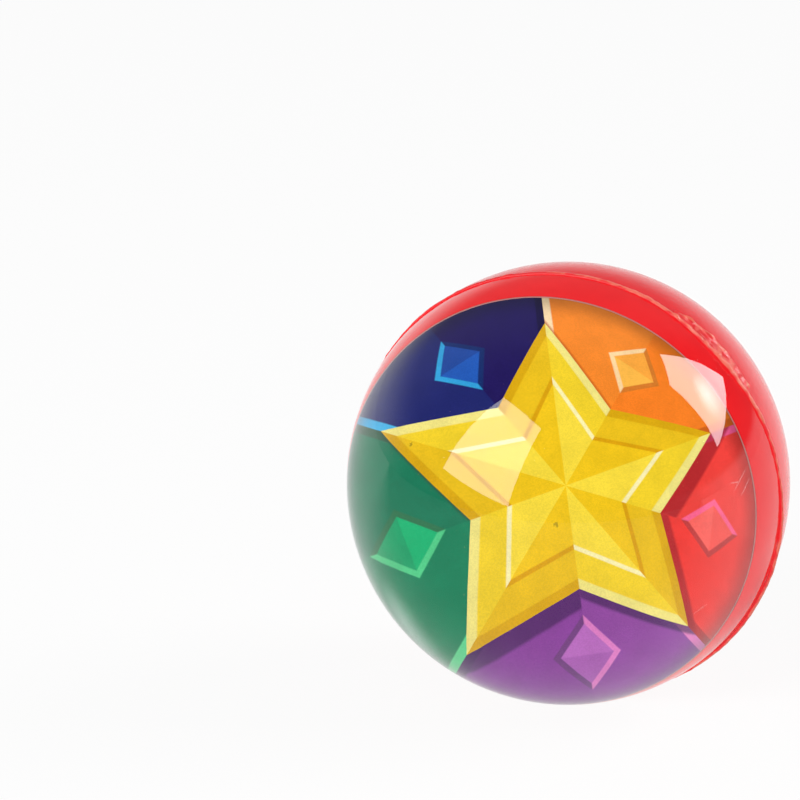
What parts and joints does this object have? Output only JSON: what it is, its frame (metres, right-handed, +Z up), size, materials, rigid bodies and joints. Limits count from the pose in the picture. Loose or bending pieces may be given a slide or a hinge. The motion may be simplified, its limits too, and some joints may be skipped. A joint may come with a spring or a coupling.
{
  "type": "bouncy ball",
  "caption": "Solid rubber bouncy ball with a clear front and a coloured back, and a printed card disc that the clear front magnifies.",
  "frame": {"origin": "centre of the ball", "axes": "-Y out through the middle of the clear front, square to the printed disc, which is how the picture shows it from a little above and to the right; +Z up, as the print stands; +X to the right of someone who looks at the front"},
  "size_m": [0.0358, 0.035, 0.0358],
  "materials": {
    "red_rubber": "glossy moulded rubber",
    "clear_rubber": "clear, polished",
    "cement": "clear, wet look",
    "white_card": "smooth white card",
    "glue": "dried glue film",
    "yellow_ink": "printed ink",
    "navy_ink": "printed ink",
    "green_ink": "printed ink",
    "purple_ink": "printed ink",
    "red_ink": "printed ink",
    "orange_ink": "printed ink"
  },
  "bodies": {
    "root": {"rear_half": "red_rubber", "clear_half": "clear_rubber", "clear_cement": "cement", "picture_card": "white_card", "card_glue": "glue", "yellow_star_print": "yellow_ink", "navy_wedge_print": "navy_ink", "green_wedge_print": "green_ink", "purple_wedge_print": "purple_ink", "red_wedge_print": "red_ink", "orange_wedge_print": "orange_ink"}
  },
  "joints": []
}
